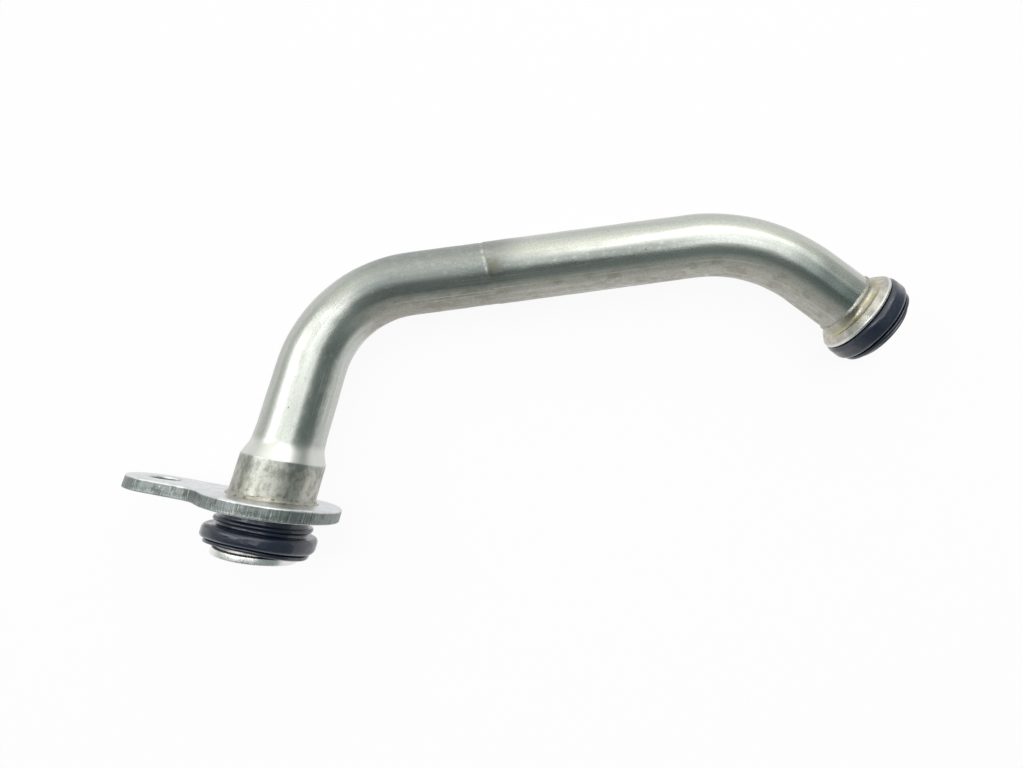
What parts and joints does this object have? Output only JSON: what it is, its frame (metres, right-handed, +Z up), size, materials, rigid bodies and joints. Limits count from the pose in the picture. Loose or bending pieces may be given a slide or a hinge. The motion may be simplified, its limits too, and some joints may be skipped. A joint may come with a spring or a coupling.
{
  "type": "turbo oil line",
  "caption": "Rigid bent steel tube that carries oil to or from a turbocharger, with a bolted one-ear flange spigot at its foot, a collared plug-in spigot at its far end and ribbed rubber seals.",
  "frame": {"origin": "on the surface the line lies on, under the middle of its bounding box", "axes": "+Z up from that surface, +X along the long middle run towards the plug-in end, and +Y away from the side both ends point to"},
  "size_m": [0.188, 0.0695, 0.031],
  "materials": {
    "stainless_tube": "drawn stainless tube with a satin mill finish",
    "plated_steel": "stamped steel plate, lightly tarnished",
    "turned_steel": "turned stainless steel with fine tool rings",
    "seal_rubber": "blue-black moulded rubber, lightly oiled",
    "braze_metal": "dull braze filler"
  },
  "bodies": {
    "root": {"oil_tube": "stainless_tube", "flange_plate": "plated_steel", "flange_ferrule": "turned_steel", "flange_seal": "seal_rubber", "flange_braze": "braze_metal", "end_ferrule": "turned_steel", "end_seal": "seal_rubber", "end_braze": "braze_metal"}
  },
  "joints": []
}
